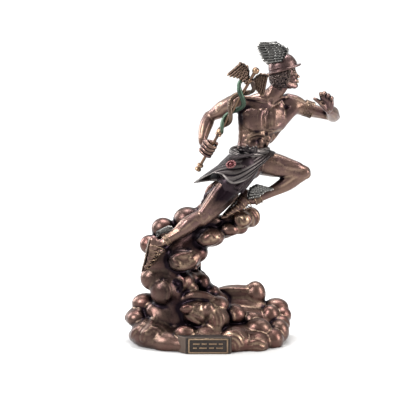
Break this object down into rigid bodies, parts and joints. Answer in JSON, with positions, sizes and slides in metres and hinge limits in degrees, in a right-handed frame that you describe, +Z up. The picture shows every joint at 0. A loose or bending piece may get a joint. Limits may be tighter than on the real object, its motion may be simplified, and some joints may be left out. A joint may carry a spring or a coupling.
{
  "type": "statuette of mercury",
  "caption": "Bronze-finished statuette of the winged messenger god running over a bank of cloud, with a snake-wound winged staff in one fist and a name plate on the base.",
  "frame": {"origin": "middle of the flat underside of the cloud base", "axes": "+Z up; the name plate faces -Y; the figure runs towards +X"},
  "size_m": [0.2025, 0.0903, 0.2885],
  "materials": {
    "bronze": "dark brown bronze-powder casting, satin, rubbed to gold on the high places",
    "cloud_bronze": "dark brown to copper-brown bronze-powder casting, satin, rubbed to gold on the high places",
    "gilt": "antique gold over dark brown, satin",
    "drapery": "grey-brown with silvery ridges, satin",
    "wings": "black with silver rubbed over the feathers, satin",
    "snake_green": "dark green over bronze, satin",
    "jewel": "dark red enamel, glossy",
    "plate": "dark brown with gold border and strokes, satin"
  },
  "bodies": {
    "root": {"mercury_figure": "bronze", "cloud_bank": "cloud_bronze", "caduceus": "gilt"}
  },
  "joints": []
}
